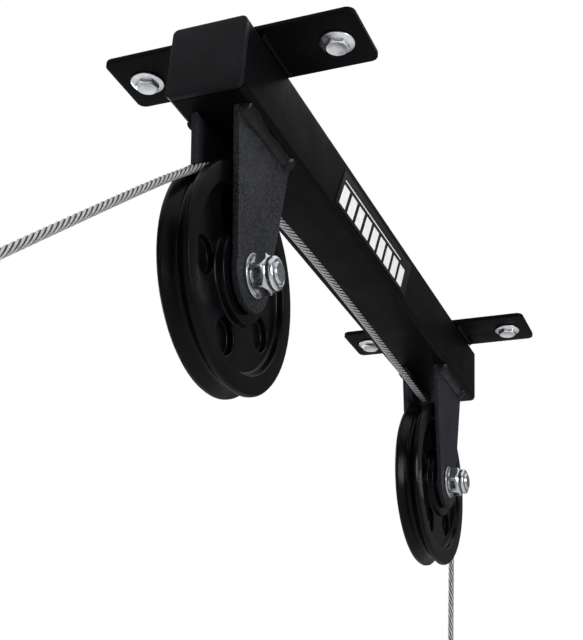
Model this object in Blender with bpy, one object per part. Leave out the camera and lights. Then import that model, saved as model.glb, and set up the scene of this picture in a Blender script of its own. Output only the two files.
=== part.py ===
"""Ceiling mounted pulley rack: a square beam under two ceiling plates, two forks, two sheaves and a wire rope.

Run with: blender --background --python part.py

Units are metres, +Z is up. The origin is the middle of the front plate's ceiling face, +X runs along the
beam from the pull end to the load end, and the ceiling is the plane Z = 0.
"""

import math

import bmesh
import bpy
from mathutils import Matrix, Vector

MM = 0.001
GAP = 0.3 * MM  # clearance between neighbouring solids

# Beam and end caps
BEAM_SIDE = 50 * MM
BEAM_WALL = 2.5 * MM
BEAM_CORNER = 4 * MM
RACK_LENGTH = 520 * MM  # over both caps
CAP_FLANGE = 5 * MM
CAP_PLUG = 14 * MM
CAP_EDGE = 1.4 * MM

# Ceiling plates and their bolts (M10 hex flange)
PLATE_LENGTH = 170 * MM
PLATE_WIDTH = 50 * MM
PLATE_THICK = 4 * MM
PLATE_CORNER = 5.5 * MM
PLATE_INSET = 42 * MM  # plate middle from the end of the rack
CEILING_BOLT_Y = 66 * MM
CEILING_HOLE_R = 5.5 * MM
CEILING_SHANK_R = 5.0 * MM
CEILING_SHANK_UP = -GAP  # the shank ends just under the ceiling face
CEILING_FLANGE_R = 10.9 * MM
CEILING_FLATS = 14 * MM
CEILING_HEAD = 5.2 * MM

# Forks
FORK_INSET = 56 * MM  # axle from the end of the rack
FORK_OUTER = 32 * MM
CHEEK_THICK = 4 * MM
CHEEK_TOP_HALF = 38 * MM
CHEEK_TAPER = 0.165  # half-width lost for each unit of drop
AXLE_DROP = 96 * MM  # axle below the beam's underside
AXLE_HOLE_R = 7.5 * MM

# Weld beads
FORK_WELD_LEG = 6.6 * MM
FORK_WELD_HALF = 35 * MM
PLATE_WELD_LEG = 3.6 * MM
PLATE_WELD_HALF = 22 * MM

# Sheaves (running on two 17 x 30 x 7 bearings each)
PULLEY_R = 70 * MM
RIM_HALF = 9.9 * MM
RIM_TIP_R = 2.6 * MM
RIM_INNER_R = 57.5 * MM
WEB_HALF = 5.2 * MM
POCKET_FLOOR_HALF = 0.8 * MM  # half the thickness left in the middle of each lightening pocket
HUB_R = 28 * MM
HUB_HALF = 10.4 * MM
GROOVE_BOTTOM_R = 64 * MM
HOLE_COUNT = 5
HOLE_R = 11 * MM
HOLE_PITCH_R = 41 * MM
POCKET_REACH = 8 * MM  # from a pocket's floor out past the web's face
HOLE_START = {"front": math.radians(43), "rear": math.radians(30)}
SEAT_R = 15 * MM
SEAT_DEPTH = 7.4 * MM
SHOULDER_R = 12.5 * MM
BEARING_WIDTH = 7 * MM
INNER_RACE_R = (8.5 * MM, 10.9 * MM)
BALL_CAGE_R = (11.3 * MM, 12.4 * MM)
OUTER_RACE_R = (12.8 * MM, 14.7 * MM)

# Axle hardware (M14)
AXLE_R = 7.0 * MM
SLEEVE_R = (7.3 * MM, 8.2 * MM)
SPACER_R = 12.0 * MM
WASHER_R = 13.5 * MM
WASHER_THICK = 1.6 * MM
NUT_FLATS = 22 * MM
NUT_HEX_HEIGHT = 10.5 * MM
NUT_COLLAR_R = 10.8 * MM
NUT_HEIGHT = 14 * MM
HEAD_HEIGHT = 8.8 * MM
AXLE_END_OUT = 1.2 * MM  # thread standing out of the nut

# Wire rope and its end eyes
ROPE_D = 5 * MM
ROPE_STEP = 13 * MM
LEAD_START = math.radians(32)  # below level, where the rope leaves the front sheave
LEAD_END = math.radians(42)  # below level, once the lead runs straight
LEAD_BEND = 30 * MM  # the rope turns from one to the other over about this length
LEAD_LENGTH = 230 * MM
DROP_LENGTH = 132 * MM
LIFT_ANGLE = math.radians(10.5)  # before the top of the front sheave, where the run rises off it
LAND_ANGLE = math.radians(3.2)  # past the top of the rear sheave, where the run comes down on it
RUN_BOW = 11.8 * MM  # sets how high the slack run arches
RUN_ONSET = 0.15  # share of the run over which it rises
FERRULE_LENGTH = 18 * MM
FERRULE_HALF = (6.9 * MM, 4.2 * MM)
EYE_LENGTH = 27 * MM  # ferrule to the middle of the eye's round end
EYE_R = 12 * MM  # to the rope's centre line
THIMBLE_WALL = 1.5 * MM
THIMBLE_HALF = 3.6 * MM
THIMBLE_NECK = 3.0 * MM  # half-width of its narrow end
THIMBLE_REACH = 0.5  # share of the eye's straight part that the thimble lines

# Side label: a slanted parallelogram on the beam's right side
LABEL_THICK = 0.4 * MM
LABEL_LENGTH = 152 * MM
LABEL_HEIGHT = 35 * MM
LABEL_SLANT = 16 * MM
LABEL_START = 108 * MM  # lower front corner from the origin
LABEL_BOTTOM = 6 * MM  # above the beam's underside

SMALL_SIDES = 24
HIDDEN_SIDES = 16  # pieces inside the hubs
SHEAVE_SIDES = 32

# Levels and places that follow from the dimensions
BEAM_TOP = -PLATE_THICK
BEAM_BOTTOM = BEAM_TOP - BEAM_SIDE
AXLE_Z = BEAM_BOTTOM - AXLE_DROP
END_X = (-PLATE_INSET, RACK_LENGTH - PLATE_INSET)
AXLE_X = (END_X[0] + FORK_INSET, END_X[1] - FORK_INSET)
PLATE_X = (0.0, END_X[1] - PLATE_INSET)
ENDS = ("front", "rear")
SIDES = (("left", 1), ("right", -1))
CHEEK_INNER = FORK_OUTER / 2 - CHEEK_THICK
ROPE_R = ROPE_D / 2
WRAP_R = GROOVE_BOTTOM_R + GAP + ROPE_R


# ---------------------------------------------------------------- helpers

def clear_scene():
    for item in list(bpy.data.objects):
        bpy.data.objects.remove(item, do_unlink=True)


def make_material(name, colour, roughness, metallic):
    material = bpy.data.materials.new(name)
    material.use_nodes = True
    shader = material.node_tree.nodes["Principled BSDF"]
    shader.inputs["Base Color"].default_value = (*colour, 1.0)
    shader.inputs["Roughness"].default_value = roughness
    shader.inputs["Metallic"].default_value = metallic
    return material


def add_object(name, bm, material, smooth=True):
    """Turn a bmesh into a named object with outward faces."""
    bmesh.ops.recalc_face_normals(bm, faces=bm.faces)
    mesh = bpy.data.meshes.new(name)
    bm.to_mesh(mesh)
    bm.free()
    if smooth:
        mesh.shade_smooth()
        mesh.set_sharp_from_angle(angle=math.radians(35))
    mesh.materials.append(material)
    item = bpy.data.objects.new(name, mesh)
    bpy.context.collection.objects.link(item)
    return item


def circle(radius, sides=SMALL_SIDES):
    return [
        (radius * math.cos(2 * math.pi * k / sides), radius * math.sin(2 * math.pi * k / sides))
        for k in range(sides)
    ]


def hexagon(flats, limit=None, sides=SMALL_SIDES):
    """A hexagon's outline with as many points as a circle, its corners cut back to the limit radius."""
    points = []
    for k in range(sides):
        angle = 2 * math.pi * k / sides
        from_flat = (angle + math.pi / 6) % (math.pi / 3) - math.pi / 6
        radius = flats / 2 / math.cos(from_flat)
        if limit is not None:
            radius = min(radius, limit)
        points.append((radius * math.cos(angle), radius * math.sin(angle)))
    return points


def rounded_rectangle(width, height, radius, arc_points=4):
    points = []
    for quarter in range(4):
        sign_x = 1 if quarter in (0, 3) else -1
        sign_y = 1 if quarter in (0, 1) else -1
        for k in range(arc_points):
            angle = math.pi / 2 * (quarter + k / (arc_points - 1))
            points.append((
                sign_x * (width / 2 - radius) + radius * math.cos(angle),
                sign_y * (height / 2 - radius) + radius * math.sin(angle),
            ))
    return points


AXIS_TURNS = {
    "Z": Matrix.Identity(4),
    "X": Matrix(((0, 0, 1, 0), (1, 0, 0, 0), (0, 1, 0, 0), (0, 0, 0, 1))),
    "Y": Matrix(((0, 1, 0, 0), (0, 0, 1, 0), (1, 0, 0, 0), (0, 0, 0, 1))),
}


def loft(name, sections, material, turn, closed=False, smooth=True):
    """Join outlines of equal length into one solid.

    Each section is (distance along the axis, outline). A closed loft comes back to its first section,
    as a ring does; an open one is capped at both ends. turn takes local Z to the wanted axis and place.
    """
    bm = bmesh.new()
    loops = [[bm.verts.new((x, y, along)) for x, y in outline] for along, outline in sections]
    pairs = list(zip(loops, loops[1:]))
    if closed:
        pairs.append((loops[-1], loops[0]))
    for first, second in pairs:
        count = len(first)
        for k in range(count):
            bm.faces.new((first[k], first[(k + 1) % count], second[(k + 1) % count], second[k]))
    if not closed:
        bm.faces.new(loops[0])
        bm.faces.new(loops[-1])
    bm.transform(turn)
    return add_object(name, bm, material, smooth)


def ring(name, inner, outer, start, end, material, turn, sides=SMALL_SIDES):
    """A plain ring or tube between two radii."""
    sections = [
        (start, circle(inner, sides)),
        (start, circle(outer, sides)),
        (end, circle(outer, sides)),
        (end, circle(inner, sides)),
    ]
    return loft(name, sections, material, turn, closed=True)


def drill(item, radius, centre, axis, depth=60 * MM):
    """Cut a round hole, whose middle is the given centre, out of an object."""
    bpy.ops.mesh.primitive_cylinder_add(vertices=SMALL_SIDES, radius=radius, depth=depth)
    cutter = bpy.context.object
    cutter.name = item.name + "_cutter"
    cutter.data.transform(Matrix.Translation(centre) @ AXIS_TURNS[axis])
    cutter.hide_render = True
    cutter.display_type = "WIRE"
    cut = item.modifiers.new("hole", "BOOLEAN")
    cut.operation = "DIFFERENCE"
    cut.solver = "EXACT"
    cut.object = cutter


def at(x, y, z, axis):
    return Matrix.Translation((x, y, z)) @ AXIS_TURNS[axis]


# ---------------------------------------------------------------- frame

def build_beam(steel, plastic):
    inner_side = BEAM_SIDE - 2 * BEAM_WALL
    outer = rounded_rectangle(BEAM_SIDE, BEAM_SIDE, BEAM_CORNER)
    inner = rounded_rectangle(inner_side, inner_side, BEAM_CORNER - BEAM_WALL)
    middle_z = BEAM_TOP - BEAM_SIDE / 2
    start = END_X[0] + CAP_FLANGE + GAP
    end = END_X[1] - CAP_FLANGE - GAP
    sections = [(start, outer), (end, outer), (end, inner), (start, inner)]
    loft("beam_tube", sections, steel, at(0, 0, middle_z, "X"), closed=True)

    face = rounded_rectangle(BEAM_SIDE - 2 * CAP_EDGE, BEAM_SIDE - 2 * CAP_EDGE, BEAM_CORNER - CAP_EDGE)
    plug_side = inner_side - 2 * GAP
    plug = rounded_rectangle(plug_side, plug_side, BEAM_CORNER - BEAM_WALL)
    for end_name, x, direction in zip(ENDS, END_X, (1, -1)):
        sections = [
            (0, face),
            (direction * CAP_EDGE, outer),
            (direction * CAP_FLANGE, outer),
            (direction * CAP_FLANGE, plug),
            (direction * (CAP_FLANGE + CAP_PLUG), plug),
        ]
        loft(end_name + "_end_cap", sections, plastic, at(x, 0, middle_z, "X"))


def build_plates(steel, zinc):
    outline = rounded_rectangle(PLATE_WIDTH, PLATE_LENGTH, PLATE_CORNER)
    for end_name, x in zip(ENDS, PLATE_X):
        sections = [(-PLATE_THICK + GAP, outline), (0, outline)]
        plate = loft(end_name + "_mounting_plate", sections, steel, at(x, 0, 0, "Z"), smooth=False)
        for side, sign in SIDES:
            place = (x, sign * CEILING_BOLT_Y, 0)
            drill(plate, CEILING_HOLE_R, place, "Z")
            build_ceiling_bolt("%s_ceiling_bolt_%s" % (end_name, side), place, zinc)


def build_ceiling_bolt(name, place, zinc):
    """A hex flange screw whose flange bears on the plate's underside and whose shank fills the plate's hole."""
    under = -PLATE_THICK
    head_end = under - CEILING_HEAD
    corner_r = CEILING_FLATS / math.sqrt(3)
    sections = [
        (CEILING_SHANK_UP, circle(CEILING_SHANK_R - 0.7 * MM)),
        (CEILING_SHANK_UP - 0.7 * MM, circle(CEILING_SHANK_R)),
        (under, circle(CEILING_SHANK_R)),
        (under, circle(CEILING_FLANGE_R)),
        (under - 1.2 * MM, circle(CEILING_FLANGE_R)),
        (under - 2.3 * MM, hexagon(CEILING_FLATS)),
        (head_end + 0.8 * MM, hexagon(CEILING_FLATS)),
        (head_end, hexagon(CEILING_FLATS, corner_r * 0.88)),
    ]
    loft(name, sections, zinc, at(place[0], place[1], 0, "Z"))


def cheek_outline():
    """Side view of a fork cheek about its axle: level top, tapered sides, round lower end."""
    slope = math.atan(CHEEK_TAPER)
    end_r = (CHEEK_TOP_HALF - CHEEK_TAPER * AXLE_DROP) * math.cos(slope)
    top = AXLE_DROP - GAP
    points = [(CHEEK_TOP_HALF, top), (-CHEEK_TOP_HALF, top)]
    steps = 14
    for k in range(steps + 1):
        angle = math.pi - slope + (math.pi + 2 * slope) * k / steps
        points.append((end_r * math.cos(angle), end_r * math.sin(angle)))
    return points


def build_forks(steel):
    for end_name, axle_x in zip(ENDS, AXLE_X):
        for side, sign in SIDES:
            bm = bmesh.new()
            near = sign * CHEEK_INNER
            far = sign * FORK_OUTER / 2
            corners = [bm.verts.new((axle_x + x, near, AXLE_Z + z)) for x, z in cheek_outline()]
            face = bm.faces.new(corners)
            moved = bmesh.ops.extrude_face_region(bm, geom=[face])["geom"]
            lifted = [part for part in moved if isinstance(part, bmesh.types.BMVert)]
            bmesh.ops.translate(bm, verts=lifted, vec=(0, far - near, 0))
            cheek = add_object("%s_fork_cheek_%s" % (end_name, side), bm, steel, smooth=False)
            drill(cheek, AXLE_HOLE_R, (axle_x, 0, AXLE_Z), "Y")


def fillet_section(leg, sign_y, sign_z, size):
    """Cross-section of a weld bead in its corner: two legs and a slightly bulged face."""
    reach = leg * size
    bulge = 0.62 * reach
    return [
        (0.0, 0.0),
        (sign_y * reach, 0.0),
        (sign_y * bulge, sign_z * bulge),
        (0.0, sign_z * reach),
    ]


def build_bead(name, corner, half_length, leg, sign_y, sign_z, steel):
    """A fillet weld along X, a little smaller at its ends."""
    stations = ((-1.0, 0.55), (-0.93, 0.9), (-0.45, 1.0), (0.0, 0.94), (0.5, 1.0), (0.93, 0.92), (1.0, 0.6))
    sections = [
        (share * half_length, fillet_section(leg, sign_y, sign_z, size))
        for share, size in stations
    ]
    loft(name, sections, steel, at(*corner, "X"), smooth=False)


def build_welds(steel):
    for end_name, axle_x, plate_x in zip(ENDS, AXLE_X, PLATE_X):
        for side, sign in SIDES:
            fork_corner = (axle_x, sign * (FORK_OUTER / 2 + GAP), BEAM_BOTTOM - GAP)
            build_bead("%s_fork_weld_%s" % (end_name, side), fork_corner,
                       FORK_WELD_HALF, FORK_WELD_LEG, sign, -1, steel)
            plate_corner = (plate_x, sign * (BEAM_SIDE / 2 + GAP), BEAM_TOP - GAP)
            build_bead("%s_plate_weld_%s" % (end_name, side), plate_corner,
                       PLATE_WELD_HALF, PLATE_WELD_LEG, sign, -1, steel)


def build_label(vinyl):
    """A thin printed strip on the beam's right side."""
    outline = [
        (0, 0),
        (LABEL_LENGTH, 0),
        (LABEL_LENGTH + LABEL_SLANT, LABEL_HEIGHT),
        (LABEL_SLANT, LABEL_HEIGHT),
    ]
    back = -BEAM_SIDE / 2 - GAP
    bm = bmesh.new()
    loops = []
    for y in (back, back - LABEL_THICK):
        loops.append([
            bm.verts.new((LABEL_START + x, y, BEAM_BOTTOM + LABEL_BOTTOM + z)) for x, z in outline
        ])
    bm.faces.new(loops[0])
    bm.faces.new(loops[1])
    for k in range(4):
        bm.faces.new((loops[0][k], loops[0][(k + 1) % 4], loops[1][(k + 1) % 4], loops[1][k]))
    add_object("side_label", bm, vinyl, smooth=False)


# ---------------------------------------------------------------- sheaves and axles

def arc(centre, radius, start, end, steps):
    return [
        (
            centre[0] + radius * math.cos(start + (end - start) * k / steps),
            centre[1] + radius * math.sin(start + (end - start) * k / steps),
        )
        for k in range(steps + 1)
    ]


def sheave_half_profile():
    """(radius, distance from the mid plane) from the groove's bottom over the rim to the bore, on one side."""
    tip = (PULLEY_R - RIM_TIP_R, RIM_HALF - RIM_TIP_R)
    groove_r = ROPE_R + GAP
    groove_centre = (GROOVE_BOTTOM_R + groove_r, 0.0)
    points = arc(groove_centre, groove_r, math.radians(180), math.radians(112), 2)
    points += arc(tip, RIM_TIP_R, math.radians(-68), math.radians(90), 3)
    points += [
        (RIM_INNER_R + 1.5 * MM, RIM_HALF),
        (RIM_INNER_R, RIM_HALF - 1.0 * MM),
        (RIM_INNER_R - 1.2 * MM, WEB_HALF),
        (HUB_R + 1.2 * MM, WEB_HALF),
        (HUB_R, HUB_HALF - 1.0 * MM),
        (HUB_R - 1.0 * MM, HUB_HALF),
        (SEAT_R, HUB_HALF),
        (SEAT_R, HUB_HALF - SEAT_DEPTH),
        (SHOULDER_R, HUB_HALF - SEAT_DEPTH),
    ]
    return points


def build_sheave(end_name, axle_x, nylon):
    half = sheave_half_profile()
    profile = half + [(radius, -along) for radius, along in reversed(half[1:])]
    sections = [(along, circle(radius, SHEAVE_SIDES)) for radius, along in profile]
    sheave = loft(end_name + "_pulley", sections, nylon, at(0, 0, 0, "Y"), closed=True)
    for k in range(HOLE_COUNT):
        angle = HOLE_START[end_name] + 2 * math.pi * k / HOLE_COUNT
        x = axle_x + HOLE_PITCH_R * math.cos(angle)
        z = AXLE_Z + HOLE_PITCH_R * math.sin(angle)
        for _, sign in SIDES:
            drill(sheave, HOLE_R, (x, sign * (POCKET_FLOOR_HALF + POCKET_REACH / 2), z), "Y", POCKET_REACH)
    sheave.location = (axle_x, 0, AXLE_Z)
    return sheave


def build_bearings(end_name, axle_x, steel, brass):
    """Two deep groove ball bearings per sheave: each an outer race, a ball cage and an inner race."""
    turn = at(axle_x, 0, AXLE_Z, "Y")
    for side, sign in SIDES:
        outside = sign * (HUB_HALF - 0.1 * MM)
        inside = sign * (HUB_HALF - 0.1 * MM - BEARING_WIDTH)
        name = "%s_bearing_%s_" % (end_name, side)
        ring(name + "outer_race", *OUTER_RACE_R, outside, inside, steel, turn, HIDDEN_SIDES)
        ring(name + "inner_race", *INNER_RACE_R, outside, inside, steel, turn, HIDDEN_SIDES)
        recess = sign * 1.2 * MM
        ring(name + "ball_cage", *BALL_CAGE_R, outside - recess, inside + recess, brass, turn, HIDDEN_SIDES)


def build_axle(end_name, axle_x, zinc):
    """The axle bolt with its head on the left, its two washers, locknut, sleeve and side spacers."""
    turn = at(axle_x, 0, AXLE_Z, "Y")
    cheek_face = FORK_OUTER / 2
    washer_face = cheek_face + GAP + WASHER_THICK
    head_start = washer_face + GAP
    nut_start = -washer_face - GAP
    bolt_end = nut_start - NUT_HEIGHT - AXLE_END_OUT
    corner_r = NUT_FLATS / math.sqrt(3)
    sections = [
        (head_start + HEAD_HEIGHT, hexagon(NUT_FLATS, corner_r * 0.87)),
        (head_start + HEAD_HEIGHT - 1.4 * MM, hexagon(NUT_FLATS)),
        (head_start, hexagon(NUT_FLATS)),
        (head_start, circle(AXLE_R)),
        (bolt_end + 1.2 * MM, circle(AXLE_R)),
        (bolt_end, circle(AXLE_R - 1.2 * MM)),
    ]
    loft(end_name + "_axle_bolt", sections, zinc, turn)

    bore = AXLE_R + GAP
    for label, sign in (("head", 1), ("nut", -1)):
        ring("%s_%s_washer" % (end_name, label), bore, WASHER_R,
             sign * (cheek_face + GAP), sign * washer_face, zinc, turn)

    sections = [
        (nut_start, circle(bore)),
        (nut_start, hexagon(NUT_FLATS, corner_r * 0.9)),
        (nut_start - 1.2 * MM, hexagon(NUT_FLATS)),
        (nut_start - NUT_HEX_HEIGHT + 1.6 * MM, hexagon(NUT_FLATS)),
        (nut_start - NUT_HEX_HEIGHT, circle(NUT_COLLAR_R)),
        (nut_start - NUT_HEIGHT + 1.4 * MM, circle(NUT_COLLAR_R - 0.6 * MM)),
        (nut_start - NUT_HEIGHT, circle(NUT_COLLAR_R - 2.2 * MM)),
        (nut_start - NUT_HEIGHT, circle(bore)),
    ]
    loft(end_name + "_locknut", sections, zinc, turn, closed=True)

    sleeve_half = CHEEK_INNER - GAP
    ring(end_name + "_axle_sleeve", *SLEEVE_R, -sleeve_half, sleeve_half, zinc, turn, HIDDEN_SIDES)
    for side, sign in SIDES:
        ring("%s_side_spacer_%s" % (end_name, side), SLEEVE_R[1] + GAP, SPACER_R,
             sign * (HUB_HALF + GAP), sign * (CHEEK_INNER - GAP), zinc, turn, HIDDEN_SIDES)


# ---------------------------------------------------------------- rope

def smooth_points(points, step):
    """Points at even steps along a smooth curve through the given points."""
    fine = []
    count = len(points)
    for k in range(count - 1):
        before = points[max(k - 1, 0)]
        start = points[k]
        end = points[k + 1]
        after = points[min(k + 2, count - 1)]
        for j in range(12):
            t = j / 12
            fine.append(0.5 * (
                2 * start
                + (end - before) * t
                + (2 * before - 5 * start + 4 * end - after) * t * t
                + (3 * start - before - 3 * end + after) * t ** 3
            ))
    fine.append(points[-1])
    lengths = [0.0]
    for first, second in zip(fine, fine[1:]):
        lengths.append(lengths[-1] + (second - first).length)
    pieces = max(2, round(lengths[-1] / step))
    result = []
    index = 0
    for k in range(pieces + 1):
        wanted = lengths[-1] * k / pieces
        while index < len(fine) - 2 and lengths[index + 1] < wanted:
            index += 1
        span = lengths[index + 1] - lengths[index]
        share = (wanted - lengths[index]) / span
        result.append(fine[index].lerp(fine[index + 1], share))
    return result


def rope_tube(name, points, material, step=ROPE_STEP):
    curve = bpy.data.curves.new(name, "CURVE")
    curve.dimensions = "3D"
    curve.bevel_depth = ROPE_R
    curve.bevel_resolution = 2
    curve.use_fill_caps = True
    spline = curve.splines.new("POLY")
    line = smooth_points(points, step)
    spline.points.add(len(line) - 1)
    for target, point in zip(spline.points, line):
        target.co = (*point, 1.0)
    spline.use_smooth = True
    curve.materials.append(material)
    item = bpy.data.objects.new(name, curve)
    bpy.context.collection.objects.link(item)
    return item


def wrap_point(axle_x, angle):
    """A point of the rope's centre line on a sheave; the angle is measured from +X towards +Z."""
    return Vector((axle_x + WRAP_R * math.cos(angle), 0, AXLE_Z + WRAP_R * math.sin(angle)))


def lead_route():
    """From the front sheave down to the pull end; the stiff rope leaves a little flatter than it goes on."""
    point = wrap_point(AXLE_X[0], math.pi / 2 + LEAD_START)
    points = [point]
    pieces = 16
    for k in range(pieces):
        travelled = LEAD_LENGTH * (k + 0.5) / pieces
        angle = LEAD_END - (LEAD_END - LEAD_START) * math.exp(-travelled / LEAD_BEND)
        point = point + Vector((-math.cos(angle), 0, -math.sin(angle))) * (LEAD_LENGTH / pieces)
        points.append(point)
    return points


def run_route():
    """Over the front sheave, in a low arch under the beam and over the rear sheave."""
    lift = math.pi / 2 + LIFT_ANGLE
    land = math.pi / 2 - LAND_ANGLE
    points = []
    for k in range(4):
        points.append(wrap_point(AXLE_X[0], math.pi / 2 + LEAD_START + (LIFT_ANGLE - LEAD_START) * k / 4))
    front = wrap_point(AXLE_X[0], lift)
    rear = wrap_point(AXLE_X[1], land)
    pieces = 20
    for k in range(pieces + 1):
        share = k / pieces
        rise = RUN_BOW * (1 - math.exp(-share / RUN_ONSET)) * (1 - share * share)
        points.append(front.lerp(rear, share) + Vector((0, 0, rise)))
    for k in range(1, 8):
        points.append(wrap_point(AXLE_X[1], land * (1 - k / 7)))
    return points


def drop_route():
    top = wrap_point(AXLE_X[1], 0.0)
    pieces = 6
    return [top - Vector((0, 0, DROP_LENGTH * k / pieces)) for k in range(pieces + 1)]


def shorten(points, start, end):
    """The same route with its two ends drawn in, so that neighbours keep their gap."""
    first = points[0] + (points[1] - points[0]).normalized() * start
    last = points[-1] + (points[-2] - points[-1]).normalized() * end
    return [first] + points[1:-1] + [last]


def eye_frame(place, direction):
    """Local Z along the rope away from the rack, local X across the rack."""
    along = direction.normalized()
    across = Vector((0, 1, 0))
    third = along.cross(across)
    turn = Matrix((across, third, along)).transposed().to_4x4()
    return Matrix.Translation(place) @ turn


def teardrop(radius, neck, sides_points=12):
    """A closed eye outline: a round end at EYE_LENGTH and two tangents that meet near the neck."""
    lean = math.asin(min(1.0, (radius - neck) / EYE_LENGTH))
    points = []
    for k in range(sides_points + 1):
        angle = -lean + (math.pi + 2 * lean) * k / sides_points
        points.append((radius * math.cos(angle), EYE_LENGTH + radius * math.sin(angle)))
    points.append((-neck, 0.0))
    points.append((neck, 0.0))
    return points


def thimble_outline(radius, neck, lift=0.0):
    """The eye's outline for the thimble, whose narrow end stops short of the ferrule; lift shortens it further."""
    points = []
    for x, z in teardrop(radius, neck):
        below = min(0.0, z - EYE_LENGTH)
        points.append((x, z - below * (1 - THIMBLE_REACH)))
    return points[:-2] + [(x, z + lift) for x, z in points[-2:]]


def build_rope_end(end_name, place, direction, rope, aluminium, zinc):
    """A pressed ferrule, the rope's own eye and the thimble inside it."""
    turn = eye_frame(place, direction)
    half_x, half_y = FERRULE_HALF
    body = rounded_rectangle(2 * half_x, 2 * half_y, half_y * 0.95)
    mouth = [(0.86 * x, 0.86 * y) for x, y in body]
    sections = [
        (0, mouth),
        (1.4 * MM, body),
        (FERRULE_LENGTH - 1.4 * MM, body),
        (FERRULE_LENGTH, mouth),
    ]
    loft(end_name + "_ferrule", sections, aluminium, turn)

    eye_start = FERRULE_LENGTH + GAP
    neck = ROPE_R + GAP
    outline = teardrop(EYE_R, neck)
    straight = 3 * MM
    route = [(neck, 0.0), (neck, straight), *outline[:-2], (-neck, straight), (-neck, 0.0)]
    points = [turn @ Vector((x, 0, eye_start + z)) for x, z in route]
    rope_tube(end_name + "_rope_eye", points, rope, step=4.5 * MM)

    outer_r = EYE_R - ROPE_R - 2.5 * GAP
    inner_r = outer_r - THIMBLE_WALL
    outer_band = thimble_outline(outer_r, THIMBLE_NECK)
    inner_band = thimble_outline(inner_r, THIMBLE_NECK - THIMBLE_WALL, lift=THIMBLE_WALL)
    lay_flat = turn @ Matrix.Translation((0, 0, eye_start)) @ Matrix.Rotation(math.pi / 2, 4, "X")
    sections = [
        (-THIMBLE_HALF, inner_band),
        (-THIMBLE_HALF, outer_band),
        (THIMBLE_HALF, outer_band),
        (THIMBLE_HALF, inner_band),
    ]
    loft(end_name + "_thimble", sections, zinc, lay_flat, closed=True)


def build_rope(rope, aluminium, zinc):
    lead = lead_route()
    drop = drop_route()
    rope_tube("cable_lead", shorten(lead, GAP / 2, GAP), rope)
    rope_tube("cable_run", shorten(run_route(), GAP / 2, GAP / 2), rope)
    rope_tube("cable_drop", shorten(drop, GAP / 2, GAP), rope)
    build_rope_end("pull", lead[-1], lead[-1] - lead[-2], rope, aluminium, zinc)
    build_rope_end("load", drop[-1], drop[-1] - drop[-2], rope, aluminium, zinc)


# ---------------------------------------------------------------- the whole rack

def main():
    clear_scene()
    painted = make_material("black_powder_coat", (0.030, 0.030, 0.034), 0.55, 0.0)
    moulded = make_material("black_plastic", (0.028, 0.028, 0.032), 0.5, 0.0)
    nylon = make_material("black_nylon", (0.018, 0.018, 0.020), 0.35, 0.0)
    zinc = make_material("bright_zinc", (0.62, 0.64, 0.67), 0.28, 1.0)
    bearing_steel = make_material("bearing_steel", (0.55, 0.56, 0.58), 0.22, 1.0)
    brass = make_material("cage_brass", (0.60, 0.45, 0.20), 0.35, 1.0)
    wire = make_material("galvanised_rope", (0.48, 0.49, 0.52), 0.35, 1.0)
    aluminium = make_material("aluminium", (0.70, 0.71, 0.73), 0.35, 1.0)
    vinyl = make_material("label_vinyl", (0.02, 0.02, 0.022), 0.3, 0.0)

    build_beam(painted, moulded)
    build_plates(painted, zinc)
    build_forks(painted)
    build_welds(painted)
    build_label(vinyl)
    for end_name, axle_x in zip(ENDS, AXLE_X):
        build_sheave(end_name, axle_x, nylon)
        build_bearings(end_name, axle_x, bearing_steel, brass)
        build_axle(end_name, axle_x, zinc)
    build_rope(wire, aluminium, zinc)


main()
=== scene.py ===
"""Looks of the ceiling mounted pulley rack: meshes, materials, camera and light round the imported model.

Units are metres, +Z is up, and +X runs from the pull end to the load end. The origin is the middle of the
front plate's ceiling face.
"""

from math import asin, atan, atan2, cos, exp, hypot, pi, radians, sin, sqrt, tan, tau

import bmesh
import bpy
import numpy as np
from mathutils import Matrix, Vector


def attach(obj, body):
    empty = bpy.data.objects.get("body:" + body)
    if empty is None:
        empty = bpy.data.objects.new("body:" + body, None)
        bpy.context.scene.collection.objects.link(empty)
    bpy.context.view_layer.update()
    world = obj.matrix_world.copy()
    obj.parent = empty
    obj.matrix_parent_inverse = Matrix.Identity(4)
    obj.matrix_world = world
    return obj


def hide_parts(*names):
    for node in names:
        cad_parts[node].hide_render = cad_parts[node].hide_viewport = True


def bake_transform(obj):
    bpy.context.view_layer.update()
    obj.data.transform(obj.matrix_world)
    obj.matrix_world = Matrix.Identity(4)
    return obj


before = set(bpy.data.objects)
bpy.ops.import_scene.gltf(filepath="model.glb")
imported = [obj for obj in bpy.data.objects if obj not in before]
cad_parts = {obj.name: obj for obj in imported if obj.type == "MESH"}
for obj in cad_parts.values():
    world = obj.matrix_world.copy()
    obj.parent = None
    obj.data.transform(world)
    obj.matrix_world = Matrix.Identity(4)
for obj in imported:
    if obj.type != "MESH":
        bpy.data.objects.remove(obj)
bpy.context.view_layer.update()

MM = 0.001
GAP = 0.3 * MM  # clearance between neighbouring pieces

# Camera: the place of the lens and the directions of the picture's right side and lower side
CAMERA_PLACE = (-0.53498, -0.29282, -0.45834)
CAMERA_RIGHT = (0.38766, -0.91958, 0.06393)
CAMERA_DOWN = (0.40784, 0.10891, -0.90653)
CAMERA_LENS = 66.388  # on a 36 mm sensor

# Beam and caps
BEAM_SIDE = 50 * MM
BEAM_WALL = 2.5 * MM
BEAM_CORNER = 4 * MM
RACK_LENGTH = 520 * MM
CAP_FLANGE = 5 * MM
CAP_PLUG = 14 * MM
CAP_EDGE = 1.3 * MM
CAP_CROWN = 0.35 * MM  # how far the face stands out in its middle
CAP_FIN = 0.8 * MM
CAP_FINS = 3
CAP_FIN_START = 2.2 * MM
CAP_FIN_PITCH = 4.2 * MM

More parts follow.
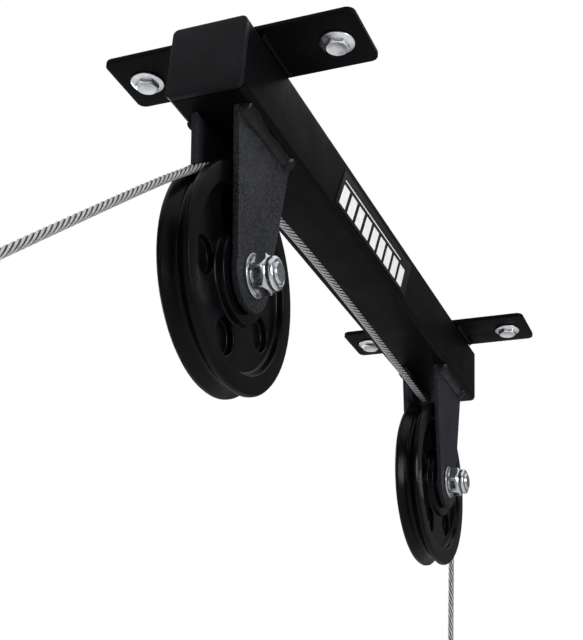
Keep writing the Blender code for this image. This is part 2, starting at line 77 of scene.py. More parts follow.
# Ceiling plates and screws
PLATE_LENGTH = 170 * MM
PLATE_WIDTH = 50 * MM
PLATE_THICK = 4 * MM
PLATE_CORNER = 5.5 * MM
PLATE_INSET = 42 * MM
PLATE_EDGE = 0.5 * MM
CEILING_BOLT_Y = 66 * MM
CEILING_HOLE_R = 5.5 * MM
CEILING_SHANK_R = 4.95 * MM
CEILING_SHANK_CHAMFER = 0.7 * MM
CEILING_FLANGE_R = 10.9 * MM
CEILING_FLATS = 14 * MM
CEILING_HEAD = 5.2 * MM
CEILING_CHAMFER = 1.1 * MM
CEILING_TURN = radians(23)  # of each screw's hexagon, from a flat side that faces +X

# Forks and welds
FORK_INSET = 56 * MM
FORK_OUTER = 32 * MM
CHEEK_THICK = 4 * MM
CHEEK_TOP_HALF = 38 * MM
CHEEK_TAPER = 0.165
CHEEK_EDGE = 0.45 * MM
AXLE_DROP = 96 * MM
AXLE_HOLE_R = 7.5 * MM
FORK_WELD_LEG = 6.6 * MM
FORK_WELD_REACH = {  # how far a bead's middle lies ahead of the axle, and half its length
    "left": (-1.5 * MM, 32.5 * MM),
    "right": (1.5 * MM, 36.5 * MM),
}
PLATE_WELD_LEG = 2.4 * MM
PLATE_WELD_HALF = 22 * MM
WELD_RIPPLE = 2.3 * MM  # from one ripple of a bead to the next
WELD_STATIONS = 150
WELD_SECTION_STEPS = 14
KNOB_SHARE = 0.80  # knob at a bead's rear end, as a share of its leg

# Sheaves and bearings
PULLEY_R = 70 * MM
RIM_HALF = 9.9 * MM
RIM_LAND = (6.7 * MM, 8.5 * MM)
RIM_INNER_R = 57.5 * MM
WEB_HALF = 5.2 * MM
POCKET_FLOOR_HALF = 0.8 * MM  # half the thickness left in the middle of each lightening pocket
POCKET_FILLET = 1.0 * MM
WEB_R = (31.5 * MM, 53 * MM)
HUB_R = 28 * MM
HUB_HALF = 10.4 * MM
GROOVE_APEX_R = 62.62 * MM
GROOVE_FILLET = 2.8 * MM
GROOVE_BOTTOM_R = 64 * MM
HOLE_COUNT = 5
HOLE_R = 11 * MM
HOLE_LIP = 0.7 * MM
HOLE_PITCH_R = 41 * MM
HOLE_START = {"front": radians(43), "rear": radians(30)}
SEAT_R = 15 * MM
SEAT_DEPTH = 7.4 * MM
SHOULDER_R = 12.5 * MM
BEARING_WIDTH = 7 * MM
INNER_RACE_R = (8.5 * MM, 10.9 * MM)
BALL_CAGE_R = (11.3 * MM, 12.4 * MM)
BALL_CAGE_HALF = 1.3 * MM
OUTER_RACE_R = (12.8 * MM, 14.7 * MM)

# Axle hardware
AXLE_R = 7 * MM
AXLE_PITCH = 2 * MM
SLEEVE_R = (7.3 * MM, 8.2 * MM)
SPACER_R = 12 * MM
WASHER_R = 13.5 * MM
WASHER_THICK = 1.6 * MM
NUT_FLATS = 22 * MM
NUT_HEX_END = 9.1 * MM  # from the nut's washer side to its hexagon's end
NUT_CHAMFER = 1.9 * MM
NUT_COLLAR_R = 10.8 * MM
NUT_DOME_R = 2.4 * MM
NUT_HEIGHT = 14 * MM
HEAD_HEIGHT = 8.8 * MM
HEAD_CHAMFER = 2.0 * MM
AXLE_END_OUT = 1.2 * MM
THREAD_LENGTH = 20 * MM
THREAD_DEPTH = 0.75 * MM

# Wire rope: six strands round a core
ROPE_D = 5 * MM
ROPE_R = ROPE_D / 2
ROPE_LAY = 32 * MM
ROPE_HAND = -1  # the sense of the strands' turn
ROPE_STEP = 1.25 * MM
STRANDS = 6
STRAND_R = ROPE_D / 6
STRAND_POINTS = 7
STRAND_REACH = tau / 3  # round a strand from its outermost line, where it touches its neighbours
WIRES = 9  # visible wires round a strand
LEAD_START = radians(32)  # below level, where the rope leaves the front sheave
LEAD_END = radians(42)  # below level, once the lead runs straight
LEAD_BEND = 30 * MM  # the rope turns from one to the other over about this length
LEAD_LENGTH = 230 * MM
DROP_LENGTH = 132 * MM
LIFT_ANGLE = radians(10.5)  # before the top of the front sheave, where the run rises off it
LAND_ANGLE = radians(3.2)  # past the top of the rear sheave, where the run comes down on it
RUN_BOW = 11.8 * MM  # sets how high the slack run arches
RUN_ONSET = 0.15  # share of the run over which it rises
FERRULE_LENGTH = 18 * MM
FERRULE_HALF = (6.9 * MM, 4.2 * MM)
FERRULE_MOUTH = 1.5 * MM
FERRULE_BANDS = 3
EYE_LENGTH = 27 * MM
EYE_R = 12 * MM
THIMBLE_WALL = 1.5 * MM
THIMBLE_HALF = 3.6 * MM
THIMBLE_NECK = 3.0 * MM
THIMBLE_REACH = 0.5  # share of the eye's straight sides that the thimble lines
THIMBLE_LIP = 1.7 * MM
THIMBLE_LIP_WALL = 0.8 * MM
EYE_STRAIGHT = 3 * MM  # of rope straight out of the ferrule

# Label
LABEL_THICK = 0.4 * MM
LABEL_LENGTH = 152 * MM
LABEL_HEIGHT = 35 * MM
LABEL_SLANT = 16 * MM
LABEL_START = 108 * MM
LABEL_BOTTOM = 6 * MM
LABEL_EDGE = 0.1 * MM
INK_LIFT = 0.01 * MM
INK_THICK = 0.06 * MM
BAR_COUNT = 9
BAR_START = 5 * MM
BAR_PITCH = 15.6 * MM
BAR_WIDTH = 11 * MM
BAR_HEIGHTS = (3.5 * MM, 22.5 * MM)
LINE_END = 128 * MM
LINE_HEIGHTS = (26.2 * MM, 27.4 * MM)

# Studio
ROOM_COLOUR = (0.97, 0.98, 1.0)
ROOM_STRENGTH = 0.15
FLOOR_SIZE = 12
FLOOR_PLACE = (0.2, 0, -0.95)
LIGHTS = (  # name, place, target, size, power
    ("key", (-0.25, -1.1, 0.0), (0.05, 0, -0.13), (0.5, 0.5), 8.0),
    ("front", (-1.2, 0.30, -0.10), (0.0, 0, -0.10), (0.4, 0.5), 0.6),
    ("back", (0.75, 1.2, 0.15), (0.25, 0, -0.13), (0.6, 0.5), 8.0),
    ("overhead", (0.2, 0, 4.5), (0.2, 0, 0), (11, 11), 330.0),
)

# Levels and places that follow
BEAM_TOP = -PLATE_THICK
BEAM_MIDDLE = BEAM_TOP - BEAM_SIDE / 2
BEAM_BOTTOM = BEAM_TOP - BEAM_SIDE
AXLE_Z = BEAM_BOTTOM - AXLE_DROP
END_X = (-PLATE_INSET, RACK_LENGTH - PLATE_INSET)
AXLE_X = (END_X[0] + FORK_INSET, END_X[1] - FORK_INSET)
PLATE_X = (0.0, END_X[1] - PLATE_INSET)
ENDS = ("front", "rear")
SIDES = (("left", 1), ("right", -1))
CHEEK_INNER = FORK_OUTER / 2 - CHEEK_THICK
WRAP_R = GROOVE_BOTTOM_R + GAP + ROPE_R
ACROSS = Vector((0, 1, 0))  # the rack's own width

TURN_STEPS = 120  # points round a sheave, a washer or a nut
BOLT_STEPS = 96  # points round a screw, a bolt or a race
TUBE_STEPS = 72  # points round a small tube
AXIS_TURNS = {  # which world axis a piece's local Z becomes
    "Z": Matrix.Identity(4),
    "X": Matrix(((0, 0, 1, 0), (1, 0, 0, 0), (0, 1, 0, 0), (0, 0, 0, 1))),
    "Y": Matrix(((0, 1, 0, 0), (0, 0, 1, 0), (1, 0, 0, 0), (0, 0, 0, 1))),
    "-Y": Matrix(((1, 0, 0, 0), (0, 0, -1, 0), (0, 1, 0, 0), (0, 0, 0, 1))),
}


# -------- camera, floor and light

def make_camera():
    right = Vector(CAMERA_RIGHT)
    up = -Vector(CAMERA_DOWN)
    back = right.cross(up)
    data = bpy.data.cameras.new("camera")
    data.sensor_width = 36
    data.lens = CAMERA_LENS
    data.clip_start = 0.01
    data.clip_end = 50
    camera = bpy.data.objects.new("camera", data)
    turn = Matrix((right, up, back)).transposed().to_4x4()
    camera.matrix_world = Matrix.Translation(CAMERA_PLACE) @ turn
    bpy.context.collection.objects.link(camera)
    bpy.context.scene.camera = camera


def add_area(name, place, target, size, power):
    data = bpy.data.lights.new(name, "AREA")
    data.shape = "RECTANGLE"
    data.size, data.size_y = size
    data.energy = power
    light = bpy.data.objects.new(name, data)
    light.location = place
    light.rotation_mode = "QUATERNION"
    light.rotation_quaternion = (Vector(target) - Vector(place)).to_track_quat("-Z", "Y")
    bpy.context.collection.objects.link(light)


def make_studio():
    """A white backdrop for the camera, a dimmer room for everything else, and soft lights round the rack."""
    world = bpy.data.worlds.new("studio")
    world.use_nodes = True
    nodes = world.node_tree.nodes
    links = world.node_tree.links
    room = nodes["Background"]
    room.inputs["Color"].default_value = (*ROOM_COLOUR, 1)
    room.inputs["Strength"].default_value = ROOM_STRENGTH
    backdrop = nodes.new("ShaderNodeBackground")
    backdrop.inputs["Color"].default_value = (1, 1, 1, 1)
    rays = nodes.new("ShaderNodeLightPath")
    choice = nodes.new("ShaderNodeMixShader")
    links.new(rays.outputs["Is Camera Ray"], choice.inputs["Fac"])
    links.new(room.outputs["Background"], choice.inputs[1])
    links.new(backdrop.outputs["Background"], choice.inputs[2])
    links.new(choice.outputs["Shader"], nodes["World Output"].inputs["Surface"])
    bpy.context.scene.world = world
    bpy.context.scene.view_settings.view_transform = "Standard"

    bpy.ops.mesh.primitive_plane_add(size=FLOOR_SIZE, location=FLOOR_PLACE)
    floor = bpy.context.object
    floor.name = "floor"
    tools = new_material("floor_paint", (0.82, 0.82, 0.81), 0.7)
    tools.colour_noise((0.80, 0.80, 0.79), (0.84, 0.84, 0.83), 6.0)
    floor.data.materials.append(MATERIALS["floor_paint"])

    for light in LIGHTS:
        add_area(*light)


# -------- materials

class Tools:
    """Shorthand for the nodes of one material; textures follow the object's own coordinates."""

    def __init__(self, material):
        self.nodes = material.node_tree.nodes
        self.links = material.node_tree.links
        self.shader = self.nodes["Principled BSDF"]
        self.place = self.nodes.new("ShaderNodeTexCoord").outputs["Object"]

    def node(self, kind, inputs):
        """A new node; each input is a value or another node's output."""
        node = self.nodes.new("ShaderNode" + kind)
        for key, value in inputs.items():
            if isinstance(value, bpy.types.NodeSocket):
                self.links.new(value, node.inputs[key])
            else:
                node.inputs[key].default_value = value
        return node

    def noise(self, scale, detail=3.0, stretch=None):
        place = self.place
        if stretch:
            place = self.node("Mapping", {"Vector": place, "Scale": stretch}).outputs["Vector"]
        return self.node("TexNoise", {"Vector": place, "Scale": scale, "Detail": detail}).outputs["Fac"]

    def spread(self, value, low, high, low_to=0.0, high_to=1.0):
        """Stretch a range of values to another one, and clamp it."""
        inputs = {"Value": value, "From Min": low, "From Max": high, "To Min": low_to, "To Max": high_to}
        return self.node("MapRange", inputs).outputs["Result"]

    def math(self, operation, *values):
        node = self.node("Math", dict(enumerate(values)))
        node.operation = operation
        return node.outputs[0]

    def mix(self, share, first, second):
        """Mix two colours; each is a tuple or another node's colour."""
        node = self.nodes.new("ShaderNodeMix")
        node.data_type = "RGBA"
        self.links.new(share, node.inputs["Factor"])
        for socket, colour in ((node.inputs[6], first), (node.inputs[7], second)):
            if isinstance(colour, tuple):
                socket.default_value = (*colour, 1)
            else:
                self.links.new(colour, socket)
        return node.outputs[2]

    def colour(self, output):
        self.links.new(output, self.shader.inputs["Base Color"])

    def colour_noise(self, dark, light, scale):
        self.colour(self.mix(self.spread(self.noise(scale), 0.35, 0.65), dark, light))

    def roughness(self, low, high, scale, stretch=None):
        value = self.spread(self.noise(scale, stretch=stretch), 0.3, 0.7, low, high)
        self.links.new(value, self.shader.inputs["Roughness"])

    def bump(self, height, depth, strength):
        """Add a bump; the latest one lies over the earlier ones."""
        node = self.node("Bump", {"Strength": strength, "Distance": depth, "Height": height})
        normal = self.shader.inputs["Normal"]
        if normal.is_linked:
            self.links.new(normal.links[0].from_socket, node.inputs["Normal"])
        self.links.new(node.outputs["Normal"], normal)


MATERIALS = {}  # by the names asked for; Blender may number its own


def new_material(name, colour, roughness, metallic=0.0, shine=0.5):
    material = bpy.data.materials.new(name)
    material.use_nodes = True
    tools = Tools(material)
    tools.shader.inputs["Base Color"].default_value = (*colour, 1)
    tools.shader.inputs["Roughness"].default_value = roughness
    tools.shader.inputs["Metallic"].default_value = metallic
    tools.shader.inputs["Specular IOR Level"].default_value = shine
    MATERIALS[name] = material
    return tools


def powder_coat(name, dark, light, roughness, shine, grain=1300):
    """Fine textured black paint: speckle, broad clouds and orange peel."""
    tools = new_material(name, dark, roughness, shine=shine)
    speckle = tools.spread(tools.noise(grain, 2.0), 0.42, 0.62)
    clouds = tools.spread(tools.noise(22, 4.0), 0.3, 0.7)
    middle = tuple(0.5 * (a + b) for a, b in zip(dark, light))
    tools.colour(tools.mix(speckle, tools.mix(clouds, dark, middle), light))
    tools.roughness(roughness - 0.07, roughness + 0.08, 40)
    tools.bump(tools.noise(420, 3.0), 0.12 * MM, 0.35)
    tools.bump(tools.noise(1900, 2.0), 0.08 * MM, 0.45)


def grained(name, dark, light, scale, roughness, metallic=0.0, shine=0.5, bump=None, stretch=None):
    """Two colours in patches. roughness is (low, high, scale), bump is (scale, detail, depth, strength)."""
    tools = new_material(name, light, roughness[0], metallic, shine)
    tools.colour_noise(dark, light, scale)
    tools.roughness(*roughness, stretch)
    if bump:
        bump_scale, detail, depth, strength = bump
        tools.bump(tools.noise(bump_scale, detail), depth, strength)


def zinc(name, low, high, shade):
    dark = tuple(shade * c for c in (0.74, 0.76, 0.81))
    light = tuple(shade * c for c in (0.90, 0.92, 0.95))
    grained(name, dark, light, 180, (low, high, 320), 1.0, bump=(900, 3.0, 0.04 * MM, 0.25))


def make_materials():
    powder_coat("tube_coat", (0.0018, 0.0018, 0.0024), (0.0038, 0.0038, 0.0046), 0.46, 0.05)
    powder_coat("fork_coat", (0.004, 0.004, 0.005), (0.036, 0.038, 0.046), 0.50, 0.12, 900)
    powder_coat("weld_coat", (0.003, 0.003, 0.004), (0.008, 0.008, 0.010), 0.32, 0.20)
    grained("cap_plastic", (0.006, 0.006, 0.008), (0.010, 0.010, 0.013), 60, (0.42, 0.56, 90),
            shine=0.14, bump=(1500, 2.0, 0.06 * MM, 0.4))
    grained("nylon", (0.0015, 0.0015, 0.002), (0.003, 0.003, 0.004), 45, (0.16, 0.28, 70),
            shine=0.11, bump=(160, 2.0, 0.08 * MM, 0.15))
    zinc("bright_zinc", 0.26, 0.42, 1.0)
    # the same zinc as bright_zinc, made darker for the axle bolts, nuts and washers: painted shade
    zinc("zinc_painted_shade", 0.16, 0.28, 0.80)
    zinc("bearing_steel", 0.10, 0.22, 0.8)
    grained("cage_brass", (0.52, 0.38, 0.16), (0.66, 0.50, 0.24), 200, (0.28, 0.42, 300), 1.0)
    grained("aluminium", (0.62, 0.63, 0.65), (0.76, 0.77, 0.79), 120, (0.28, 0.44, 260), 1.0,
            bump=(700, 3.0, 0.05 * MM, 0.4), stretch=(1, 1, 0.2))
    grained("label_vinyl", (0.003, 0.003, 0.003), (0.006, 0.006, 0.006), 80, (0.28, 0.40, 60),
            shine=0.12, bump=(500, 2.0, 0.03 * MM, 0.3))
    grained("label_ink", (0.93, 0.93, 0.93), (0.98, 0.98, 0.98), 200, (0.36, 0.48, 200))
    wire_rope()


def wire_rope():
    """Galvanised wire. The UV map's X counts wires and its Y goes from 0 to 1 across a strand."""
    tools = new_material("wire_rope", (0.80, 0.80, 0.80), 0.40, 0.6)
    uv = tools.nodes.new("ShaderNodeUVMap")
    uv.uv_map = "wires"
    parts = tools.node("SeparateXYZ", {"Vector": uv.outputs["UV"]})
    turn = tools.math("MULTIPLY", parts.outputs["X"], tau)
    grooves = tools.spread(tools.math("SINE", turn), -1.0, 0.3)
    off_middle = tools.math("ABSOLUTE", tools.math("SUBTRACT", parts.outputs["Y"], 0.5))
    # painted shade: the colour goes almost black towards each strand's edges, in the gaps between strands
    strand_gap_shade = tools.spread(off_middle, 0.14, 0.36)
    patches = tools.spread(tools.noise(500), 0.35, 0.65)
    patina = tools.mix(patches, (0.62, 0.62, 0.63), (0.84, 0.84, 0.85))
    # painted shade: the colour darkens in the grooves between neighbouring wires; the same grooves drive the
    # bump
    wires = tools.mix(grooves, (0.36, 0.36, 0.38), patina)
    tools.colour(tools.mix(strand_gap_shade, wires, (0.015, 0.015, 0.017)))
    tools.roughness(0.30, 0.50, 600)
    tools.bump(grooves, 0.12 * MM, 0.8)


# -------- mesh helpers

def polar(radius, angle, x=0.0, y=0.0):
    """The point at a distance and an angle from (x, y)."""
    return (x + radius * cos(angle), y + radius * sin(angle))


def soften(corners, closed=False, steps=4):
    """Turn corners (x, y, radius) into a smooth outline: each corner with a radius becomes an arc."""
    points = []
    count = len(corners)
    for k, (x, y, radius) in enumerate(corners):
        here = Vector((x, y))
        if radius <= 0 or (not closed and k in (0, count - 1)):
            points.append((x, y))
            continue
        back = Vector(corners[k - 1][:2]) - here
        ahead = Vector(corners[(k + 1) % count][:2]) - here
        half = back.angle(ahead) / 2
        reach = min(radius / tan(half), 0.49 * back.length, 0.49 * ahead.length)
        back.normalize()
        ahead.normalize()
        middle = here + (back + ahead).normalized() * (reach / cos(half))
        first = here + back * reach - middle
        last = here + ahead * reach - middle
        sweep = first.angle(last)
        for j in range(steps + 1):
            share = j / steps
            spoke = first * sin((1 - share) * sweep) + last * sin(share * sweep)
            points.append(tuple(middle + spoke / sin(sweep)))
    return points


def rounded_rectangle(width, height, radius, steps=8):
    x, y = width / 2, height / 2
    corners = [(x, y, radius), (-x, y, radius), (-x, -y, radius), (x, -y, radius)]
    return soften(corners, closed=True, steps=steps)


class Shape:
    """Points and faces gathered from grids of points, to become one mesh."""

    def __init__(self):
        self.points = []
        self.faces = []
        self.wires = []  # a UV pair for each corner of each face, if any

    def grid(self, rows, along=False, caps=False):
        """Quads between closed rows of points; along joins the last row to the first."""
        base = len(self.points)
        count = len(rows[0])
        for row in rows:
            self.points.extend(row)
        pairs = [(k, k + 1) for k in range(len(rows) - 1)]
        if along:
            pairs.append((len(rows) - 1, 0))
        for first, second in pairs:
            for k in range(count):
                j = (k + 1) % count
                here = base + first * count
                there = base + second * count
                self.faces.append((here + k, here + j, there + j, there + k))
        if caps:
            last = base + (len(rows) - 1) * count
            self.faces.append(tuple(range(base, base + count)))
            self.faces.append(tuple(range(last, last + count)))
        return self

    def turned(self, profile, radius_at=None, along=False, steps=TURN_STEPS, start=0.0):
        """A profile of (radius, height) turned round local Z; radius_at may reshape it."""
        rows = []
        for radius, height in profile:
            row = []
            for k in range(steps):
                angle = start + tau * k / steps
                r = radius_at(angle, radius, height) if radius_at else radius
                row.append((*polar(r, angle), height))
            rows.append(row)
        return self.grid(rows, along=along)

    def piece(self, name, material, turn=Matrix.Identity(4), angle=32, merge=True):
        """Make the object; its edges are sharp where the surface turns by more than the angle."""
        mesh = bpy.data.meshes.new(name)
        mesh.from_pydata([tuple(p) for p in self.points], [], self.faces)
        if self.wires:
            layer = mesh.uv_layers.new(name="wires")
            layer.data.foreach_set("uv", np.array(self.wires, np.float32).ravel())
        bm = bmesh.new()
        bm.from_mesh(mesh)
        if merge:
            bmesh.ops.remove_doubles(bm, verts=bm.verts, dist=1e-6)
        bm.transform(turn)
        bmesh.ops.recalc_face_normals(bm, faces=bm.faces)
        bm.to_mesh(mesh)
        bm.free()
        mesh.shade_smooth()
        mesh.set_sharp_from_angle(angle=radians(angle))
        mesh.materials.append(MATERIALS[material])
        item = bpy.data.objects.new(name, mesh)
        bpy.context.collection.objects.link(item)
        return item


def stand_for(item, body, slot, *nodes):
    """Let a piece ride on a body and replace CAD nodes; the slot argument is not used."""
    if body:
        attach(item, body)
    if nodes:
        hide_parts(*nodes)
    return item


def flat_shape(outline, holes, thick, edge):
    """A plate with softened edges, cut from an outline in local XY and centred on local Z = 0."""
    curve = bpy.data.curves.new("outline", "CURVE")
    curve.dimensions = "2D"
    curve.fill_mode = "BOTH"
    curve.extrude = thick / 2 - edge
    curve.bevel_depth = edge
    curve.bevel_resolution = 3
    curve.offset = -edge
    for loop in (outline, *holes):
        spline = curve.splines.new("POLY")
        spline.points.add(len(loop) - 1)
        for target, (x, y) in zip(spline.points, loop):
            target.co = (x, y, 0, 1)
        spline.use_cyclic_u = True
    maker = bpy.data.objects.new("outline", curve)
    bpy.context.collection.objects.link(maker)
    bpy.context.view_layer.update()
    evaluated = maker.evaluated_get(bpy.context.evaluated_depsgraph_get())
    mesh = bpy.data.meshes.new_from_object(evaluated)
    bpy.data.objects.remove(maker)
    shape = Shape()
    shape.points = [tuple(v.co) for v in mesh.vertices]
    shape.faces = [tuple(p.vertices) for p in mesh.polygons]
    bpy.data.meshes.remove(mesh)
    return shape


def circle(radius, steps=48, centre=(0.0, 0.0)):
    return [polar(radius, tau * k / steps, *centre) for k in range(steps)]


def at(x, y, z, axis="Z"):
    return Matrix.Translation((x, y, z)) @ AXIS_TURNS[axis]


def hexagon_radius(flats):
    """The radius of a hexagon with slightly blunt corners, kept inside a profile's own radius."""
    limit = flats / sqrt(3) * 0.985

    def radius_at(angle, radius, height):
        from_flat = (angle + pi / 6) % (pi / 3) - pi / 6
        return min(radius, limit, flats / 2 / cos(from_flat))
    return radius_at


def chamfer(corner_r, face_r, start, end, power, steps=7):
    """Profile points from a hexagon's corners at one height to the edge of its face at another."""
    points = []
    for k in range(1, steps + 1):
        share = k / steps
        points.append((corner_r - (corner_r - face_r) * share, end + (start - end) * (1 - share) ** power))
    return points


def ring(name, material, turn, radii, heights, edges, steps=TURN_STEPS, arc_steps=3):
    """A turned ring; edges are the radii of its edges: inner and outer at the first height, then back."""
    inner, outer = radii
    start, end = heights
    corners = ((inner, start), (outer, start), (outer, end), (inner, end))
    shape = Shape()
    outline = soften([(*corner, edge) for corner, edge in zip(corners, edges)], closed=True, steps=arc_steps)
    shape.turned(outline, along=True, steps=steps)
    return shape.piece(name, material, turn)


# -------- beam, caps, plates, forks

def build_beam():
    outer = rounded_rectangle(BEAM_SIDE, BEAM_SIDE, BEAM_CORNER)
    inner_side = BEAM_SIDE - 2 * BEAM_WALL
    inner = rounded_rectangle(inner_side, inner_side, BEAM_CORNER - BEAM_WALL)
    start = END_X[0] + CAP_FLANGE + GAP
    end = END_X[1] - CAP_FLANGE - GAP
    stations = [start + (end - start) * k / 40 for k in range(41)]
    rows = [[(x, y, s) for x, y in outer] for s in stations]
    rows += [[(x, y, s) for x, y in inner] for s in reversed(stations)]
    shape = Shape().grid(rows, along=True)
    tube = shape.piece("tube", "tube_coat", at(0, 0, BEAM_MIDDLE, "X"))
    stand_for(tube, "rack", "powder_coat", "beam_tube")


def build_cap(end, x, direction):
    """A push-in cap: a flange with a softly crowned face and a plug with gripping fins."""
    plug_side = BEAM_SIDE - 2 * BEAM_WALL - 2 * GAP
    plug_corner = BEAM_CORNER - BEAM_WALL
    rows = []

    def add(depth, side, radius):
        rows.append([(px, py, direction * depth) for px, py in rounded_rectangle(side, side, radius)])

    for share in (0.12, 0.5, 0.8):
        add(CAP_CROWN * share ** 3, (BEAM_SIDE - 2 * CAP_EDGE) * share, BEAM_CORNER * share)
    for k in range(6):
        angle = pi / 2 * k / 5
        inset = CAP_EDGE * (1 - sin(angle))
        depth = CAP_CROWN + (CAP_EDGE - CAP_CROWN) * (1 - cos(angle))
        add(depth, BEAM_SIDE - 2 * inset, BEAM_CORNER - inset)
    add(CAP_FLANGE - 0.5 * MM, BEAM_SIDE, BEAM_CORNER)
    add(CAP_FLANGE - 0.1 * MM, BEAM_SIDE - 0.6 * MM, BEAM_CORNER)
    add(CAP_FLANGE, BEAM_SIDE - 1.2 * MM, BEAM_CORNER)
    body_side = plug_side - 2 * CAP_FIN
    add(CAP_FLANGE, body_side, plug_corner)
    for k in range(CAP_FINS):
        base = CAP_FLANGE + CAP_FIN_START + CAP_FIN_PITCH * k
        add(base, body_side, plug_corner)
        add(base + 0.3 * MM, plug_side, plug_corner)
        add(base + 0.9 * MM, plug_side, plug_corner)
        add(base + 2.0 * MM, body_side, plug_corner)
    add(CAP_FLANGE + CAP_PLUG, body_side - 0.8 * MM, plug_corner)
    shape = Shape().grid(rows, caps=True)
    cap = shape.piece(f"{end}_cap", "cap_plastic", at(x, 0, BEAM_MIDDLE, "X"))
    stand_for(cap, "rack", "cap_plastic", f"{end}_end_cap")


def build_plate(end, x):
    outline = rounded_rectangle(PLATE_WIDTH, PLATE_LENGTH, PLATE_CORNER, steps=10)
    holes = [circle(CEILING_HOLE_R, 40, (0, sign * CEILING_BOLT_Y)) for _, sign in SIDES]
    thick = PLATE_THICK - GAP
    shape = flat_shape(outline, holes, thick, PLATE_EDGE)
    plate = shape.piece(f"{end}_plate", "tube_coat", at(x, 0, -thick / 2))
    stand_for(plate, "rack", "powder_coat", f"{end}_mounting_plate")


def cheek_outline():
    """Side view of a fork cheek about its axle: level top, tapered sides, round lower end."""
    slope = atan(CHEEK_TAPER)
    end_r = (CHEEK_TOP_HALF - CHEEK_TAPER * AXLE_DROP) * cos(slope)
    top = AXLE_DROP - GAP
    angles = [pi - slope + (pi + 2 * slope) * k / 40 for k in range(41)]
    return [(CHEEK_TOP_HALF, top), (-CHEEK_TOP_HALF, top), *(polar(end_r, angle) for angle in angles)]


def build_cheek(end, axle_x, side, sign):
    shape = flat_shape(cheek_outline(), [circle(AXLE_HOLE_R)], CHEEK_THICK, CHEEK_EDGE)
    place = at(axle_x, sign * (CHEEK_INNER + CHEEK_THICK / 2), AXLE_Z, "-Y")
    cheek = shape.piece(f"{end}_cheek_{side}", "fork_coat", place)
    stand_for(cheek, "rack", "powder_coat", f"{end}_fork_cheek_{side}")


def bead_width(x, half, leg, phase):
    """Share of the full leg: a broad start, a waist, slow lumps and a rounded knob at the rear end."""
    from_start = x + half
    from_end = half - x
    taper = 1.12 - 0.34 * min(1.0, from_start / (4.5 * leg))
    nose = sqrt(max(0.0, 1 - (1 - min(1.0, from_start / (0.5 * leg))) ** 2))
    lumps = 1 + 0.06 * sin(x / leg * 1.1 + phase) + 0.05 * sin(x / leg * 2.6 + 2 * phase)
    knob_r = KNOB_SHARE * leg
    off_knob = (from_end - knob_r) / knob_r
    knob = 1.12 * sqrt(max(0.0, 1 - off_knob * off_knob))
    tail = 1.0 if from_end > knob_r else 0.0
    return max(taper * nose * lumps * tail, knob, 0.10)


def build_bead(name, corner, half, leg, sign_y, phase, coat):
    """A welded fillet along X with faint overlapping ripples and a crater in the knob at its rear end."""
    rows = []
    for k in range(WELD_STATIONS + 1):
        x = half * (2 * k / WELD_STATIONS - 1)
        width = leg * bead_width(x, half, leg, phase)
        crater_off = (half - KNOB_SHARE * leg - x) / (0.36 * leg)
        row = [(x, 0.0, 0.0)]
        for j in range(WELD_SECTION_STEPS + 1):
            turn = j / WELD_SECTION_STEPS
            bulge = sin(pi * turn)
            wave = (x + WELD_RIPPLE * 0.9 * bulge) / WELD_RIPPLE + 0.13 * sin(x / WELD_RIPPLE * 0.37)
            ripple = 1 + 0.018 * ((wave % 1.0) ** 0.6 - 0.6) * bulge
            angle = pi / 2 * turn
            flat = width / (cos(angle) + sin(angle))  # straight face between the two legs
            across = (turn - 0.5) / 0.24
            crater = 0.16 * leg * exp(-crater_off * crater_off - across * across)
            radius = (0.72 * width + 0.28 * flat) * ripple - crater
            row.append((x, sign_y * radius * cos(angle), -radius * sin(angle)))
        rows.append(row)
    shape = Shape().grid(rows, caps=True)
    return shape.piece(name, coat, at(*corner), angle=50)


def build_welds():
    for number, (end, axle_x, plate_x) in enumerate(zip(ENDS, AXLE_X, PLATE_X)):
        for side, sign in SIDES:
            phase = 1.7 * number + 0.8 * sign
            ahead, half = FORK_WELD_REACH[side]
            fork_corner = (axle_x - ahead, sign * (FORK_OUTER / 2 + GAP), BEAM_BOTTOM - GAP)
            plate_corner = (plate_x, sign * (BEAM_SIDE / 2 + GAP), BEAM_TOP - GAP)
            for kind, *measures, shift, coat in (
                ("fork", fork_corner, half, FORK_WELD_LEG, 0, "weld_coat"),
                ("plate", plate_corner, PLATE_WELD_HALF, PLATE_WELD_LEG, 1, "tube_coat"),
            ):
                name = f"{end}_{kind}_bead_{side}"
                bead = build_bead(name, *measures, sign, phase + shift, coat)
                stand_for(bead, "rack", "powder_coat", f"{end}_{kind}_weld_{side}")


# -------- label

def slanted(x0, x1, y0, y1):
    """A bar between two heights that leans as the label's ends do; x is measured at the lower edge."""
    lean = LABEL_SLANT / LABEL_HEIGHT
    return [(x0 + lean * y0, y0), (x1 + lean * y0, y0), (x1 + lean * y1, y1), (x0 + lean * y1, y1)]


def build_label():
    """A dark strip with a fine line near its top and a row of plain slanted bars."""
    place = at(LABEL_START, -BEAM_SIDE / 2 - GAP - LABEL_THICK / 2, BEAM_BOTTOM + LABEL_BOTTOM, "-Y")
    shape = flat_shape(slanted(0, LABEL_LENGTH, 0, LABEL_HEIGHT), [], LABEL_THICK, LABEL_EDGE)
    label = shape.piece("label", "label_vinyl", place)
    stand_for(label, "rack", "label_vinyl", "side_label")

    starts = [BAR_START + BAR_PITCH * k for k in range(BAR_COUNT)]
    marks = [slanted(x, x + BAR_WIDTH, *BAR_HEIGHTS) for x in starts]
    marks.append(slanted(BAR_START, LINE_END, *LINE_HEIGHTS))
    low = LABEL_THICK / 2 + INK_LIFT
    ink = Shape()
    for mark in marks:
        ink.grid([[(x, y, z) for x, y in mark] for z in (low, low + INK_THICK)], caps=True)
    printed = ink.piece("label_print", "label_ink", place)
    stand_for(printed, "rack", "label_vinyl")


# -------- screws, bolts, nuts and washers

